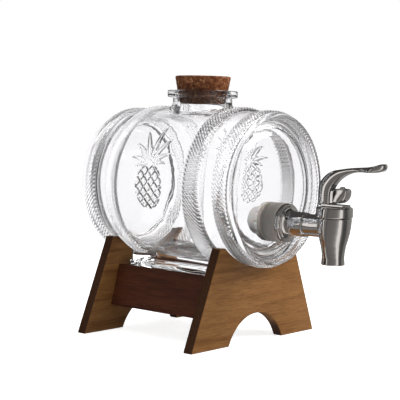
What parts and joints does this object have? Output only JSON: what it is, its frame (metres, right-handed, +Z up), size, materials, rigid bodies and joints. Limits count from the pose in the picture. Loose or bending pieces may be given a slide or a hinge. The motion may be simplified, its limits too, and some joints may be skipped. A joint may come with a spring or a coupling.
{
  "type": "glass barrel drink dispenser",
  "caption": "Clear glass barrel with rope bands, cork stopper and chromed lever tap, lying in a wooden cradle stand; it holds and pours a drink.",
  "frame": {"origin": "bottom centre of the whole object's box, on the surface it stands on, midway between lever tip and rear head", "axes": "+Z up, tap towards -Y, barrel along Y, plane of symmetry X = 0"},
  "size_m": [0.1426, 0.2324, 0.1906],
  "materials": {
    "panel_wood": "satin clear coat, horizontal grain",
    "stretcher_wood": "satin clear coat, dark reddish brown",
    "dowel_wood": "raw",
    "clear_glass": "clear moulded glass",
    "cork": "matt agglomerated cork",
    "chrome": "polished",
    "steel": "drawn wire and turned steel",
    "silicone": "matt",
    "nut_plastic": "satin"
  },
  "bodies": {
    "stand": {"stand_front_panel": "panel_wood", "stand_rear_panel": "panel_wood", "stand_left_stretcher": "stretcher_wood", "stand_right_stretcher": "stretcher_wood", "stand_dowel_left_front_low": "dowel_wood", "stand_dowel_left_front_high": "dowel_wood", "stand_dowel_left_rear_low": "dowel_wood", "stand_dowel_left_rear_high": "dowel_wood", "stand_dowel_right_front_low": "dowel_wood", "stand_dowel_right_front_high": "dowel_wood", "stand_dowel_right_rear_low": "dowel_wood", "stand_dowel_right_rear_high": "dowel_wood"},
    "barrel": {"glass_barrel": "clear_glass", "tap_body": "chrome", "tap_bonnet": "chrome", "bonnet_seal": "silicone", "outer_gasket": "silicone", "inner_gasket": "silicone", "lock_nut": "nut_plastic", "stem_spring": "steel"},
    "cork": {"cork_stopper": "cork"},
    "stem": {"valve_stem": "steel", "valve_seat_cup": "silicone", "spring_washer": "steel", "stem_head": "chrome", "lever_pin": "steel"},
    "lever": {"tap_lever": "chrome"}
  },
  "joints": [
    {"name": "barrel_lift", "type": "slide", "parent": "stand", "child": "barrel", "axis": [0, 0, 1], "range_m": [0, 0.06]},
    {"name": "cork_pull", "type": "slide", "parent": "barrel", "child": "cork", "axis": [0, 0, 1], "range_m": [0, 0.03]},
    {"name": "stem_lift", "type": "slide", "parent": "barrel", "child": "stem", "axis": [0, 0, 1], "range_m": [0, 0.0045], "deforming": ["stem_spring"]},
    {"name": "lever_tilt", "type": "hinge", "parent": "stem", "child": "lever", "pos_m": [0, -0.0714, 0.1095], "axis": [1, 0, 0], "range_deg": [0, 16], "stiffness_Nm_per_rad": 0.2, "springref_deg": -21.49}
  ],
  "couplings": [
    {"joint": "stem_lift", "follows": "lever_tilt", "m_per_rad": 0.016}
  ]
}
